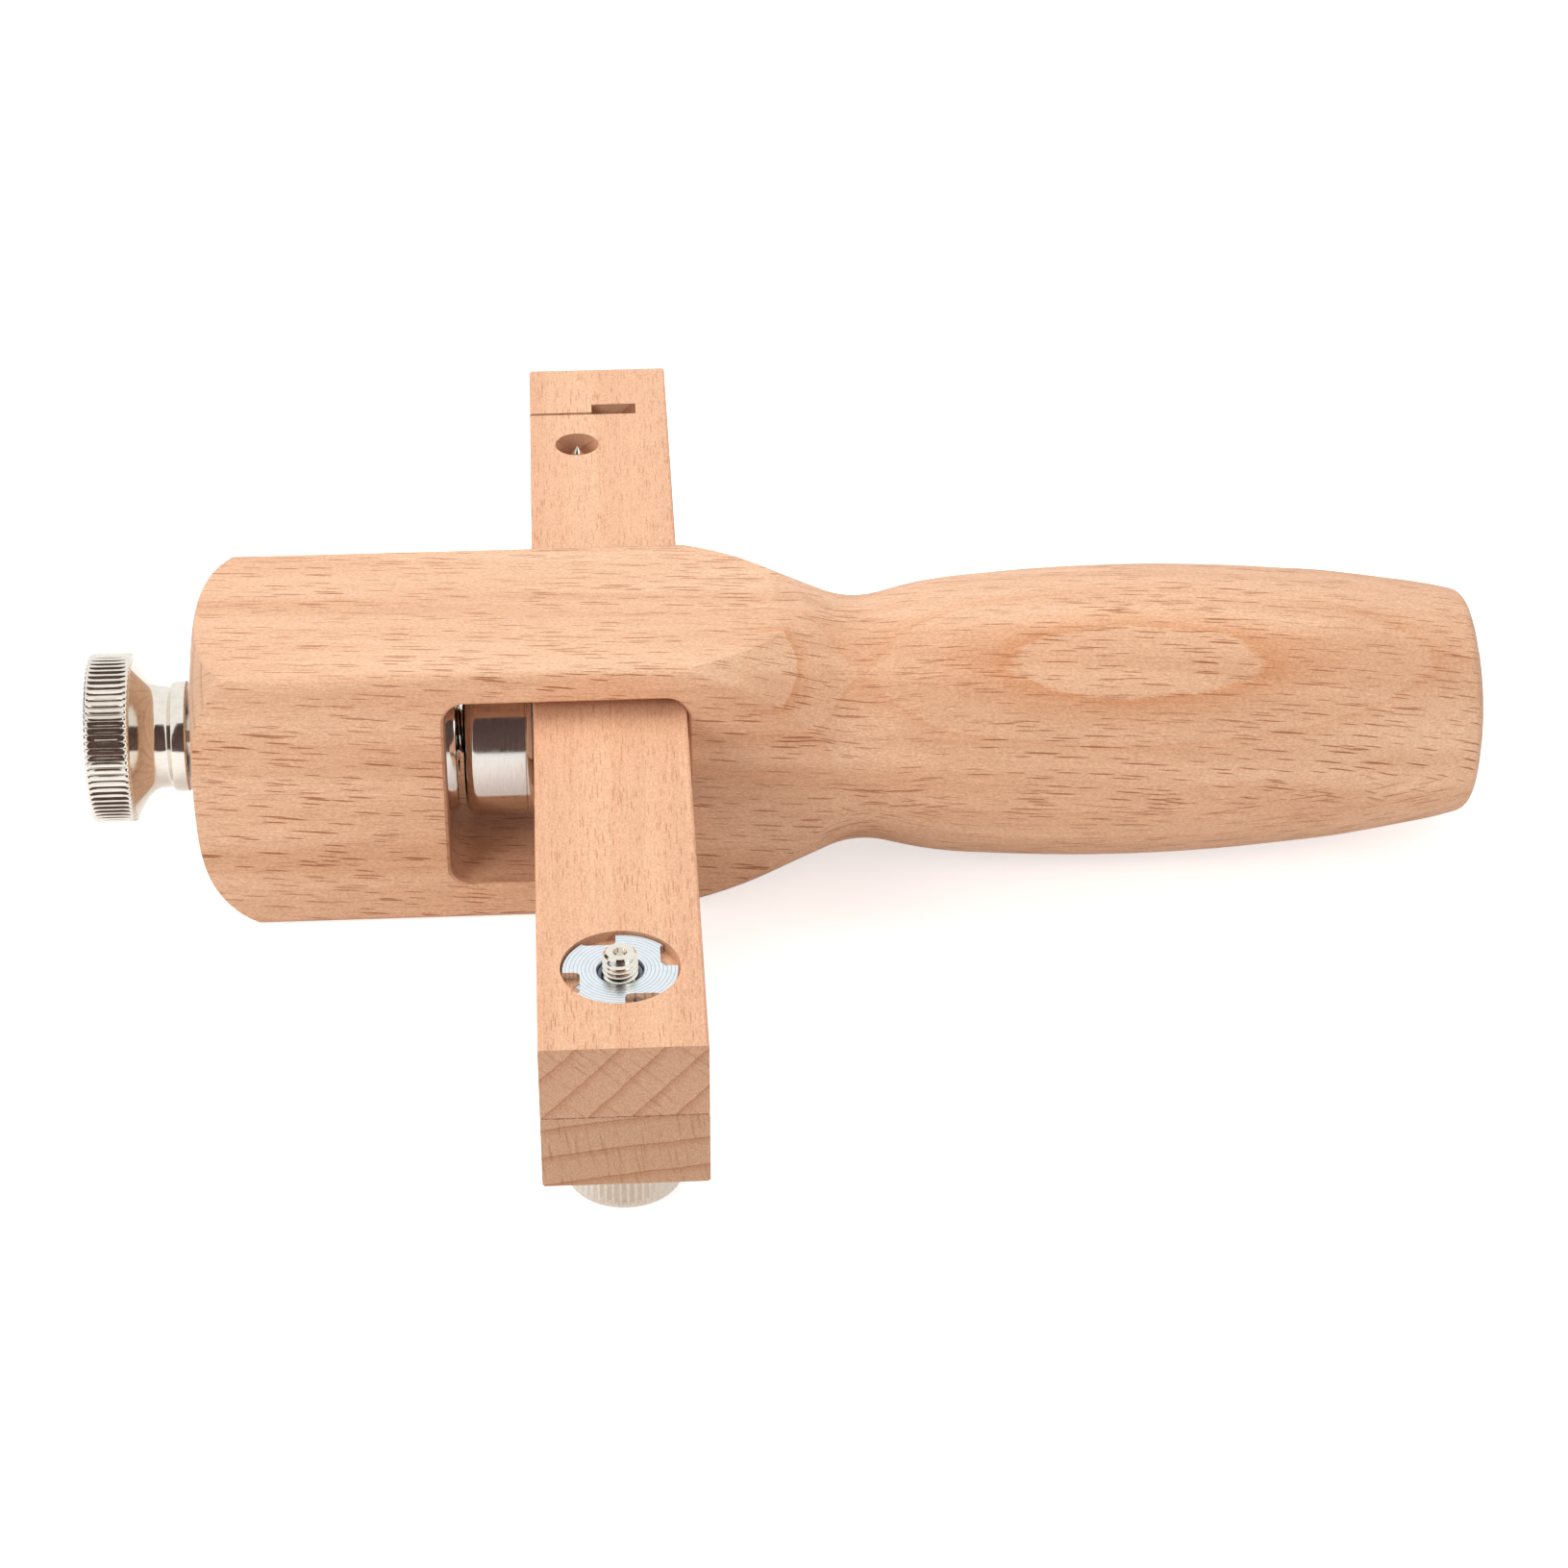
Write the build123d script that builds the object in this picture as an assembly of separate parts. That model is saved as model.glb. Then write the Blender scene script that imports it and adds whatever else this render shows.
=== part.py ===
from build123d import *
import math
import os

# Wooden strap cutter: a turned handle and flat-sided head in one piece of beech, a two-layer crossbar
# that slides through a slot in the head, a knurled screw that clamps the bar, and a smaller knurled
# screw that sets the gap between the two layers for the leather.
#
# Lengths are in millimetres. X runs along the turning axis of the stock with the handle toward +X,
# Y runs along the crossbar with the blade end toward +Y, and Z is up. The pieces are drawn about the
# turning axis, midway across the crossbar and midway between the two working faces of the head. They
# are then lifted together, so that the origin lies on the head's underside, which rests on the bench.

# ---------------------------------------------------------------------------------------------
# Driving dimensions
# ---------------------------------------------------------------------------------------------

# Crossbar, shown with the blade 5 cm beyond the head
bar_width = 23.0
bar_length = 188.5
layer_height = 11.7
bar_far_y = 88.5
bar_top_z = 14.0
bar_edge_ease = 0.5
leather_gap = 5.2
heel_length = 5.0
mouth_lead = 2.0

# Clearances that let the pieces move
bar_side_gap = 0.25
foot_bar_gap = 0.3
foot_retreat = 1.05
thread_clearance = 0.05
seat_clearance = 0.03
passage_clearance = 0.6

# Stock: head
wall_above_slot = 5.2
wall_below_slot = 6.4
slot_headroom = 2.1
slot_footroom = 7.4
slot_corner_radius = 3.4
slot_edge_ease = 0.4
head_depth = 37.0
head_edge_radius = 1.2
end_wall = 39.0
turning_radius = 30.0
end_round_radius = 13.0
end_dome_angle = 6.0
flat_runout_start = 12.5
flat_runout_radius = 60.0

# Stock: turned profile. Straight runs joined by arcs, each corner given as a distance beyond the slot's
# handle-side wall, a radius from the axis, and the radius of the arc that rounds it.
shoulder_start_corner = (-18.0, 30.0, 60.0)
shoulder_corner = (2.6, 28.0, 70.0)
neck_corner = (25.8, 18.2, 14.0)
grip_rise_corner = (38.1, 21.2, 60.0)
belly_corner = (68.7, 23.35, 270.0)
grip_fall_corner = (100.8, 20.8, 120.0)
grip_tail_corner = (116.5, 18.35, 60.0)
grip_end = (120.0, 17.45)
butt_round_radius = 2.2
butt_dome_angle = 16.3

# Clamp screw, its bush and its foot
clamp_thread_radius = 4.0
bush_flange_radius = 12.8
bush_flange_height = 1.6
bush_barrel_radius = 6.0
bush_barrel_length = 14.0
foot_radius = 13.75
foot_length = 10.6
foot_back_round = 2.0
foot_rim_chamfer = 0.5
foot_bore_depth = 6.0
foot_tip_gap = 0.4
collar_end_gap = 0.6
clamp_collar_radius = 8.6
clamp_collar_length = 2.4
clamp_waist_radius = 7.95
clamp_waist_length = 3.2
clamp_bell_radius = 12.3
clamp_bell_length = 2.6
clamp_band_radius = 13.05
clamp_band_width = 6.9
clamp_band_edge = 0.7
clamp_dome_height = 1.2
knurl_pitch = 1.08
knurl_depth = 0.42
knurl_land = 0.3

# Tee nut and gap screw
gap_thread_radius = 2.5
gap_screw_from_near_end = 18.2
gap_screw_proud = 3.0
nut_flange_radius = 8.1
nut_flange_height = 1.2
nut_flange_sunk = 0.4
nut_recess_clearance = 0.2
nut_barrel_radius = 3.35
nut_barrel_length = 8.0
prong_count = 4
prong_length = 5.0
prong_shoulder = 2.0
prong_width = 2.4
prong_thickness = 0.9
prong_circle_radius = 5.9
washer_radius = 5.2
washer_height = 1.0
gap_collar_radius = 4.9
gap_collar_length = 3.4
gap_waist_radius = 4.3
gap_waist_length = 1.6
gap_bell_length = 1.6
gap_bell_radius = 7.9
gap_band_radius = 8.35
gap_band_width = 5.2
gap_band_edge = 0.5
gap_dome_height = 0.8

# Blade, and the pointed screw beside it
kerf_from_far_end = 15.5
kerf_width = 0.7
blade_thickness = 0.4
blade_width = 10.6
blade_length = 18.0
blade_bevel = 1.6
blade_top_sunk = 1.2
window_length = 7.4
window_width = 3.4
lower_kerf_width = 1.7
lower_kerf_reach = 2.0
point_screw_from_far_end = 25.5
point_screw_x = -3.75
point_recess_radius = 3.6
point_recess_depth = 5.0
point_shank_radius = 1.75
point_head_radius = 3.3
point_cone_length = 3.6
point_head_sunk = 0.3
point_tip_sunk = 0.3

# ---------------------------------------------------------------------------------------------
# Places worked out from the sizes
# ---------------------------------------------------------------------------------------------

bar_near_y = bar_far_y - bar_length
seam_z = bar_top_z - layer_height
bar_bottom_z = seam_z - layer_height
gap_floor_z = seam_z - leather_gap
bar_side_x = bar_width / 2

slot_right_x = bar_side_x + bar_side_gap
foot_front_x = -bar_side_x - foot_bar_gap
foot_back_x = foot_front_x - foot_length
slot_left_x = foot_back_x - foot_retreat - bush_flange_height
slot_top_z = bar_top_z + slot_headroom
slot_bottom_z = bar_bottom_z - slot_footroom
head_top_z = slot_top_z + wall_above_slot
head_bottom_z = slot_bottom_z - wall_below_slot
head_end_x = slot_left_x - end_wall
neck_x = slot_right_x + neck_corner[0]

# The head's end: a shallow dome that runs into a large round. The round's centre lies at end_arc_x.
end_dome_slope = math.radians(end_dome_angle)
head_rim_r = turning_radius - end_round_radius * (1 - math.sin(end_dome_slope))
head_rim_x = head_end_x + head_rim_r * math.tan(end_dome_slope / 2)
end_arc_x = head_rim_x + end_round_radius * math.cos(end_dome_slope)
end_dome_radius = head_rim_r / math.sin(end_dome_slope)

# The butt: a small round from the grip's taper into a dome
butt_start_x = slot_right_x + grip_end[0]
butt_taper = math.atan2(grip_tail_corner[1] - grip_end[1], grip_end[0] - grip_tail_corner[0])
butt_slope = math.radians(butt_dome_angle)
butt_rim_r = grip_end[1] - butt_round_radius * (math.cos(butt_taper) - math.sin(butt_slope))
butt_rim_x = butt_start_x + butt_round_radius * (math.cos(butt_slope) - math.sin(butt_taper))
butt_end_x = butt_rim_x + butt_rim_r * math.tan(butt_slope / 2)
butt_dome_radius = butt_rim_r / math.sin(butt_slope)

gap_screw_y = bar_near_y + gap_screw_from_near_end
nut_top_z = bar_top_z - nut_flange_sunk
nut_underside_z = nut_top_z - nut_flange_height
kerf_y = bar_far_y - kerf_from_far_end
point_screw_y = bar_far_y - point_screw_from_far_end
window_left_x = -bar_side_x + blade_width - 0.25


# ---------------------------------------------------------------------------------------------
# Shared shapes
# ---------------------------------------------------------------------------------------------

def cylinder_x(radius, x0, x1):
    """A round bar along X from x0 to x1."""
    circle = Plane.YZ.offset(x0) * Circle(radius)
    return extrude(circle, amount=x1 - x0)


def cylinder_z(radius, x, y, z0, z1):
    """A round bar along Z from z0 to z1."""
    return Pos(x, y, z0) * extrude(Circle(radius), amount=z1 - z0)


def block(x0, x1, y0, y1, z0, z1):
    """A box given by its limits."""
    return Pos((x0 + x1) / 2, (y0 + y1) / 2, (z0 + z1) / 2) * Box(x1 - x0, y1 - y0, z1 - z0)


def cap_radius(rim_radius, height):
    """Radius of the sphere whose cap has this rim radius and height."""
    return (rim_radius ** 2 + height ** 2) / (2 * height)


def knurled_knob(collar, waist, bell, band, edge, dome):
    """A turned and straight-knurled knob.

    It stands on the XY plane with its collar's face at z = 0 and its domed face upward. collar, waist,
    bell and band are (radius, length) pairs from the collar to the grip.
    """
    z_collar = collar[1]
    z_waist = z_collar + waist[1]
    z_bell = z_waist + bell[1]
    z_band = z_bell + band[1]
    with BuildSketch(Plane.XZ) as profile:
        with BuildLine():
            Polyline((0, 0), (collar[0], 0), (collar[0], z_collar), (waist[0], z_collar))
            Line((waist[0], z_collar), (waist[0], z_waist))
            ThreePointArc(
                (waist[0], z_waist),
                (waist[0] + 0.3 * (bell[0] - waist[0]), z_waist + 0.6 * bell[1]),
                (bell[0], z_bell),
            )
            Line((bell[0], z_bell), (band[0] - edge, z_bell))
            Polyline(
                (band[0] - edge, z_bell),
                (band[0], z_bell + edge),
                (band[0], z_band - edge),
                (band[0] - edge, z_band),
            )
            RadiusArc((band[0] - edge, z_band), (0, z_band + dome), -cap_radius(band[0] - edge, dome))
            Line((0, z_band + dome), (0, 0))
        make_face()
    turned = revolve(profile.sketch, Axis.Z)

    teeth = round(2 * math.pi * band[0] / knurl_pitch)
    crest = band[0] / math.cos(math.pi / teeth)
    root = band[0] - knurl_depth
    corners = []
    for index in range(2 * teeth):
        radius = crest if index % 2 == 0 else root
        angle = math.pi * index / teeth
        corners.append((radius * math.cos(angle), radius * math.sin(angle)))
    knurl_face = make_face(Polyline(*corners, close=True))
    plain_ring = Circle(crest + 1) - knurl_face
    land = edge + knurl_land
    grooves = Pos(0, 0, z_bell + land) * extrude(plain_ring, amount=band[1] - 2 * land)
    return turned - grooves


# ---------------------------------------------------------------------------------------------
# Stock: turned handle and flat-sided head
# ---------------------------------------------------------------------------------------------

def stock_turning():
    """The lathe-turned blank: domed end, cylinder, shoulder, neck, belly and domed butt."""
    corners = (
        shoulder_start_corner,
        shoulder_corner,
        neck_corner,
        grip_rise_corner,
        belly_corner,
        grip_fall_corner,
        grip_tail_corner,
    )
    path = [(end_arc_x, turning_radius)]
    path += [(slot_right_x + x, r) for x, r, _ in corners]
    path += [(butt_start_x, grip_end[1])]
    taper_direction = (math.cos(butt_taper), -math.sin(butt_taper))
    with BuildSketch(Plane.XY) as profile:
        with BuildLine():
            Line((head_end_x, 0), (butt_end_x, 0))
            RadiusArc((head_rim_x, head_rim_r), (head_end_x, 0), -end_dome_radius)
            RadiusArc((head_rim_x, head_rim_r), (end_arc_x, turning_radius), end_round_radius)
            FilletPolyline(*path, radius=[arc for _, _, arc in corners])
            TangentArc((butt_start_x, grip_end[1]), (butt_rim_x, butt_rim_r), tangent=taper_direction)
            RadiusArc((butt_rim_x, butt_rim_r), (butt_end_x, 0), butt_dome_radius)
        make_face()
    return revolve(profile.sketch, Axis.X)


def flats_outline(plane, low, high):
    """Outline of two flats along X that run out in arcs past the shoulder, clear of the neck and grip."""
    start_x = head_end_x - 1
    arc_x = slot_right_x + flat_runout_start
    clear_x = neck_x + 3
    run = clear_x - arc_x
    rise = flat_runout_radius - math.sqrt(flat_runout_radius ** 2 - run ** 2)
    far_x = slot_right_x + grip_end[0] + 2 * butt_round_radius
    wide = turning_radius + 1
    with BuildSketch(plane) as outline:
        with BuildLine():
            Line((arc_x, high), (start_x, high))
            Line((start_x, high), (start_x, low))
            Line((start_x, low), (arc_x, low))
            TangentArc((arc_x, low), (clear_x, low - rise), tangent=(1, 0))
            Polyline(
                (clear_x, low - rise),
                (clear_x, -wide),
                (far_x, -wide),
                (far_x, wide),
                (clear_x, wide),
                (clear_x, high + rise),
            )
            TangentArc((arc_x, high), (clear_x, high + rise), tangent=(1, 0))
        make_face()
    return outline.sketch


def make_stock():
    half = head_depth / 2
    tall = 2 * turning_radius
    working_faces = extrude(flats_outline(Plane.XY, -half, half), amount=tall, both=True)
    top_and_bottom = extrude(flats_outline(Plane.XZ, head_bottom_z, head_top_z), amount=tall, both=True)
    planed = working_faces & top_and_bottom
    long_edges = [
        edge
        for edge in planed.edges().filter_by(Axis.X)
        if edge.center().X < slot_right_x and edge.length > bar_width
    ]
    planed = fillet(long_edges, head_edge_radius)
    body = planed & stock_turning()

    slot_mid_x = (slot_left_x + slot_right_x) / 2
    slot_mid_z = (slot_top_z + slot_bottom_z) / 2
    slot_size = (slot_right_x - slot_left_x, slot_top_z - slot_bottom_z)
    slot_face = Plane.XZ * Pos(slot_mid_x, slot_mid_z) * RectangleRounded(*slot_size, slot_corner_radius)
    body -= extrude(slot_face, amount=head_depth, both=True)

    barrel_end_x = slot_left_x - bush_barrel_length
    body -= cylinder_x(bush_barrel_radius + seat_clearance, barrel_end_x - passage_clearance, slot_left_x + 1)
    body -= cylinder_x(clamp_thread_radius + passage_clearance, head_end_x - 1, barrel_end_x)
    rims = [
        edge
        for edge in body.edges()
        if abs(abs(edge.center().Y) - half) < 0.01
        and slot_left_x - 0.1 < edge.center().X < slot_right_x + 0.1
        and slot_bottom_z - 0.1 < edge.center().Z < slot_top_z + 0.1
    ]
    return chamfer(rims, slot_edge_ease)


# ---------------------------------------------------------------------------------------------
# Clamp: bush in the slot wall, screw with its knob, and the foot that presses on the bar
# ---------------------------------------------------------------------------------------------

def make_clamp_bush():
    flange = cylinder_x(bush_flange_radius, slot_left_x, slot_left_x + bush_flange_height)
    flange = chamfer(flange.edges().group_by(Axis.X)[-1], 0.3)
    barrel = cylinder_x(bush_barrel_radius, slot_left_x - bush_barrel_length, slot_left_x)
    bore = cylinder_x(
        clamp_thread_radius + thread_clearance,
        slot_left_x - bush_barrel_length - 1,
        slot_left_x + bush_flange_height + 1,
    )
    return flange + barrel - bore


def make_clamp_foot():
    foot = cylinder_x(foot_radius, foot_back_x, foot_front_x)
    foot = fillet(foot.edges().group_by(Axis.X)[0], foot_back_round)
    foot = chamfer(foot.edges().group_by(Axis.X)[-1], foot_rim_chamfer)
    bore = cylinder_x(clamp_thread_radius + thread_clearance, foot_back_x - 1, foot_back_x + foot_bore_depth)
    return foot - bore


def make_clamp_screw():
    knob = knurled_knob(
        collar=(clamp_collar_radius, clamp_collar_length),
        waist=(clamp_waist_radius, clamp_waist_length),
        bell=(clamp_bell_radius, clamp_bell_length),
        band=(clamp_band_radius, clamp_band_width),
        edge=clamp_band_edge,
        dome=clamp_dome_height,
    )
    collar_x = head_end_x - collar_end_gap
    tip_x = foot_back_x + foot_bore_depth - foot_tip_gap
    shank = cylinder_x(clamp_thread_radius, collar_x - 1, tip_x)
    shank = chamfer(shank.edges().group_by(Axis.X)[-1], 0.6)
    return Pos(collar_x, 0, 0) * Rot(0, -90, 0) * knob + shank


# ---------------------------------------------------------------------------------------------
# Crossbar: two beech layers
# ---------------------------------------------------------------------------------------------

def prong_shape(extra):
    """One pointed prong of the tee nut, below its flange; extra makes the matching cut in the wood."""
    half = prong_width / 2 + extra
    with BuildSketch(Plane.XZ) as face:
        with BuildLine():
            Polyline(
                (-half, 0),
                (half, 0),
                (half, -prong_shoulder),
                (0, -prong_length - extra),
                (-half, -prong_shoulder),
                close=True,
            )
        make_face()
    return extrude(face.sketch, amount=prong_thickness / 2 + extra, both=True)


def prong_ring(extra):
    """The prongs in place around the tee nut's barrel, turned like a pinwheel."""
    ring = []
    for index in range(prong_count):
        turn = 360 / prong_count * index + 28
        place = Pos(0, gap_screw_y, nut_underside_z) * Rot(0, 0, turn) * Pos(0, prong_circle_radius, 0)
        ring.append(place * Rot(0, 0, 20) * prong_shape(extra))
    return ring


def make_upper_bar():
    bar = block(-bar_side_x, bar_side_x, bar_near_y, bar_far_y, seam_z, bar_top_z)
    bar = fillet(bar.edges().filter_by(Axis.Y), bar_edge_ease)
    recess_radius = nut_flange_radius + nut_recess_clearance
    bar -= cylinder_z(recess_radius, 0, gap_screw_y, nut_underside_z, bar_top_z + 1)
    bar -= cylinder_z(nut_barrel_radius + seat_clearance, 0, gap_screw_y, seam_z - 1, bar_top_z)
    for prong in prong_ring(seat_clearance):
        bar -= prong

    bar -= block(-bar_side_x - 1, window_left_x + 1, kerf_y, kerf_y + kerf_width, seam_z - 1, bar_top_z + 1)
    bar -= block(
        window_left_x,
        window_left_x + window_length,
        kerf_y,
        kerf_y + window_width,
        seam_z - 1,
        bar_top_z + 1,
    )

    bar -= cylinder_z(
        point_recess_radius, point_screw_x, point_screw_y, bar_top_z - point_recess_depth, bar_top_z + 1
    )
    bar -= cylinder_z(
        point_shank_radius + seat_clearance, point_screw_x, point_screw_y, seam_z - 1, bar_top_z
    )
    cone_height = point_head_radius - point_shank_radius
    sink = Pos(point_screw_x, point_screw_y, seam_z + point_head_sunk + cone_height / 2)
    bar -= sink * Cone(point_head_radius + seat_clearance, point_shank_radius + seat_clearance, cone_height)
    bar -= cylinder_z(
        point_head_radius + seat_clearance,
        point_screw_x,
        point_screw_y,
        seam_z - 1,
        seam_z + point_head_sunk,
    )
    return bar


def make_lower_bar():
    bar = block(-bar_side_x, bar_side_x, bar_near_y, bar_far_y, bar_bottom_z, seam_z)
    bar = fillet(bar.edges().filter_by(Axis.Y), bar_edge_ease)
    gap_start_y = bar_near_y + heel_length
    bar -= block(-bar_width, bar_width, gap_start_y, bar_far_y + 1, gap_floor_z, seam_z + 1)
    mouth = [
        edge
        for edge in bar.edges().filter_by(Axis.X)
        if abs(edge.center().Y - bar_far_y) < 0.01 and abs(edge.center().Z - gap_floor_z) < 0.01
    ]
    bar = fillet(mouth, mouth_lead)
    bar -= cylinder_z(
        gap_thread_radius + passage_clearance, 0, gap_screw_y, bar_bottom_z - 1, seam_z + 1
    )
    kerf_mid = kerf_y + kerf_width / 2
    bar -= block(
        -bar_side_x - 1,
        window_left_x + lower_kerf_reach,
        kerf_mid - lower_kerf_width / 2,
        kerf_mid + lower_kerf_width / 2,
        bar_bottom_z - 1,
        seam_z + 1,
    )
    return bar


# ---------------------------------------------------------------------------------------------
# Fittings of the crossbar
# ---------------------------------------------------------------------------------------------

def make_tee_nut():
    flange = cylinder_z(nut_flange_radius, 0, gap_screw_y, nut_underside_z, nut_top_z)
    barrel_low = nut_underside_z - nut_barrel_length
    barrel = cylinder_z(nut_barrel_radius, 0, gap_screw_y, barrel_low, nut_underside_z)
    nut = flange + barrel
    notch_reach = nut_flange_radius - prong_circle_radius + prong_thickness / 2 + 1
    for index in range(prong_count):
        turn = 360 / prong_count * index + 28
        place = Pos(0, gap_screw_y, nut_underside_z) * Rot(0, 0, turn) * Pos(0, prong_circle_radius, 0)
        notch = block(
            -prong_width / 2,
            prong_width / 2,
            prong_thickness / 2,
            notch_reach,
            -1,
            nut_flange_height + 1,
        )
        nut -= place * Rot(0, 0, 20) * notch
    for prong in prong_ring(0):
        nut += prong
    bore = cylinder_z(gap_thread_radius + thread_clearance, 0, gap_screw_y, barrel_low - 1, nut_top_z + 1)
    return nut - bore


def make_gap_washer():
    top = bar_bottom_z
    disc = cylinder_z(washer_radius, 0, gap_screw_y, top - washer_height, top)
    return disc - cylinder_z(
        gap_thread_radius + passage_clearance, 0, gap_screw_y, top - washer_height - 1, top + 1
    )


def make_gap_screw():
    knob = knurled_knob(
        collar=(gap_collar_radius, gap_collar_length),
        waist=(gap_waist_radius, gap_waist_length),
        bell=(gap_bell_radius, gap_bell_length),
        band=(gap_band_radius, gap_band_width),
        edge=gap_band_edge,
        dome=gap_dome_height,
    )
    collar_z = bar_bottom_z - washer_height
    shank = cylinder_z(gap_thread_radius, 0, gap_screw_y, collar_z - 1, nut_top_z + gap_screw_proud)
    shank = chamfer(shank.edges().group_by(Axis.Z)[-1], 0.5)
    return Pos(0, gap_screw_y, collar_z) * Rot(180, 0, 0) * knob + shank


def make_blade():
    back_x = -bar_side_x
    edge_x = back_x + blade_width
    near_y = kerf_y + (kerf_width - blade_thickness) / 2
    mid_y = near_y + blade_thickness / 2
    far_y = near_y + blade_thickness
    outline = make_face(
        Polyline(
            (back_x, near_y),
            (edge_x - blade_bevel, near_y),
            (edge_x, mid_y),
            (edge_x - blade_bevel, far_y),
            (back_x, far_y),
            close=True,
        )
    )
    top_z = bar_top_z - blade_top_sunk
    return Pos(0, 0, top_z - blade_length) * extrude(outline, amount=blade_length)


def make_upper_bar_screw():
    head_z = seam_z + point_head_sunk
    tip_z = bar_top_z - point_tip_sunk
    cone_height = point_head_radius - point_shank_radius
    with BuildSketch(Plane.XZ) as profile:
        with BuildLine():
            Polyline(
                (0, head_z),
                (point_head_radius, head_z),
                (point_shank_radius, head_z + cone_height),
                (point_shank_radius, tip_z - point_cone_length),
                (0, tip_z),
                close=True,
            )
        make_face()
    return Pos(point_screw_x, point_screw_y, 0) * revolve(profile.sketch, Axis.Z)


# ---------------------------------------------------------------------------------------------
# Write every piece
# ---------------------------------------------------------------------------------------------

pieces = {
    "stock": make_stock(),
    "clamp_bush": make_clamp_bush(),
    "clamp_foot": make_clamp_foot(),
    "clamp_screw": make_clamp_screw(),
    "upper_bar": make_upper_bar(),
    "lower_bar": make_lower_bar(),
    "tee_nut": make_tee_nut(),
    "gap_washer": make_gap_washer(),
    "gap_screw": make_gap_screw(),
    "blade": make_blade(),
    "upper_bar_screw": make_upper_bar_screw(),
}

os.makedirs("parts", exist_ok=True)
lift = Pos(0, 0, -head_bottom_z)
for name, piece in pieces.items():
    export_step(lift * piece, f"parts/{name}.step")
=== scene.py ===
# %% [markdown]
# # A wooden strap cutter
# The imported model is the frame: eleven solids at their real size and place, riding on the bodies that move.
# Everything below adds looks to it. A turned solid is made again as a smooth mesh with finer detail, a planed
# one keeps its own shape and gets softer shading, and both get a material made of nodes. Nothing on the tool
# is placed by eye: every position comes from the frame.

# %% Load the frame
import bpy
import bmesh
import math
from mathutils import Matrix, Vector


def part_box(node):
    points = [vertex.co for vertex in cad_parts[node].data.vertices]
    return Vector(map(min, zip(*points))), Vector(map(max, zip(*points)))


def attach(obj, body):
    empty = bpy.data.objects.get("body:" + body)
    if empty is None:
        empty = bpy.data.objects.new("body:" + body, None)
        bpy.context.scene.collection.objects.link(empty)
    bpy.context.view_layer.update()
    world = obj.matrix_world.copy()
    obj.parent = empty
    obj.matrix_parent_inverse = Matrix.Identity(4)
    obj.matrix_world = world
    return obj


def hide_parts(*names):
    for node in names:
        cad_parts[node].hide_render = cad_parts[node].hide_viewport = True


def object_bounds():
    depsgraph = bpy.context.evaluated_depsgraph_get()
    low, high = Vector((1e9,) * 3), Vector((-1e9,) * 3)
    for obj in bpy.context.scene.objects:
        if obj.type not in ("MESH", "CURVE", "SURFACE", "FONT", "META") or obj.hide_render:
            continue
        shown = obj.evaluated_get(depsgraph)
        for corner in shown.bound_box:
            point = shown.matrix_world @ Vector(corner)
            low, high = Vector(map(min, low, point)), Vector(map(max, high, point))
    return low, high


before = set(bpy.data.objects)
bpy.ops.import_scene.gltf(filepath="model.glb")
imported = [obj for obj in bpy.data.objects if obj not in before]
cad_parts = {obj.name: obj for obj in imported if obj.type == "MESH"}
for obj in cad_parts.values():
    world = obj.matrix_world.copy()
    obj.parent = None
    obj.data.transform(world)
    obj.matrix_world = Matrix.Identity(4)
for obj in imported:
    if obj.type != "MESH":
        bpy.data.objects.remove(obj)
cad_low, cad_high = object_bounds()
scene = bpy.context.scene
scene.view_settings.view_transform = "Standard"
mm = 0.001
per_metre = 1000
print("pieces in the frame:", ", ".join(sorted(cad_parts)))

# %% [markdown]
# ## Places read from the frame
# A box has a lowest and a highest corner. The axes could be typed in as numbers, but then they would be wrong
# as soon as the model changes. From the boxes come the axes that the lathe-made pieces turn about: the clamp
# screw, its bush and its foot share one axis along X, and the gap screw, the tee nut and the washer share one
# along Z.

# %% Read the places
def box_of(node_name):
    """The lowest and the highest corner of a piece's box."""
    low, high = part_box(node_name)
    return Vector(low), Vector(high)


def size_of(node_name):
    """A piece's size along X, Y and Z in mm."""
    return [(high - low) / mm for low, high in zip(*box_of(node_name))]


def middle(node_name):
    low, high = box_of(node_name)
    return (low + high) / 2


def lathe_axis(start, direction):
    """What a turned piece is spun about: its start, its direction, and a direction that points out from it."""
    outward = (0, 0, 1) if direction[0] else (1, 0, 0)
    return Vector(start), Vector(direction), Vector(outward)


clamp_line = middle("clamp_foot")
nut_line = middle("gap_washer")
print("clamp screw at y, z", tuple(clamp_line.yz), "and tee nut at x, y", tuple(nut_line.xy))

# %% [markdown]
# ## Short ways to add nodes
# A material in Blender is a tree of nodes. Written out in full each node takes three or four lines, and the
# wood needs about a hundred nodes. One could build it in the editor and load the file, but then nobody could
# read how it works. So one small class adds a node, sets it and joins it up in a single call, and the recipes
# below read almost like sums.

# %% A node tree with short calls
def grey(level):
    return (level, level, level)


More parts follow.
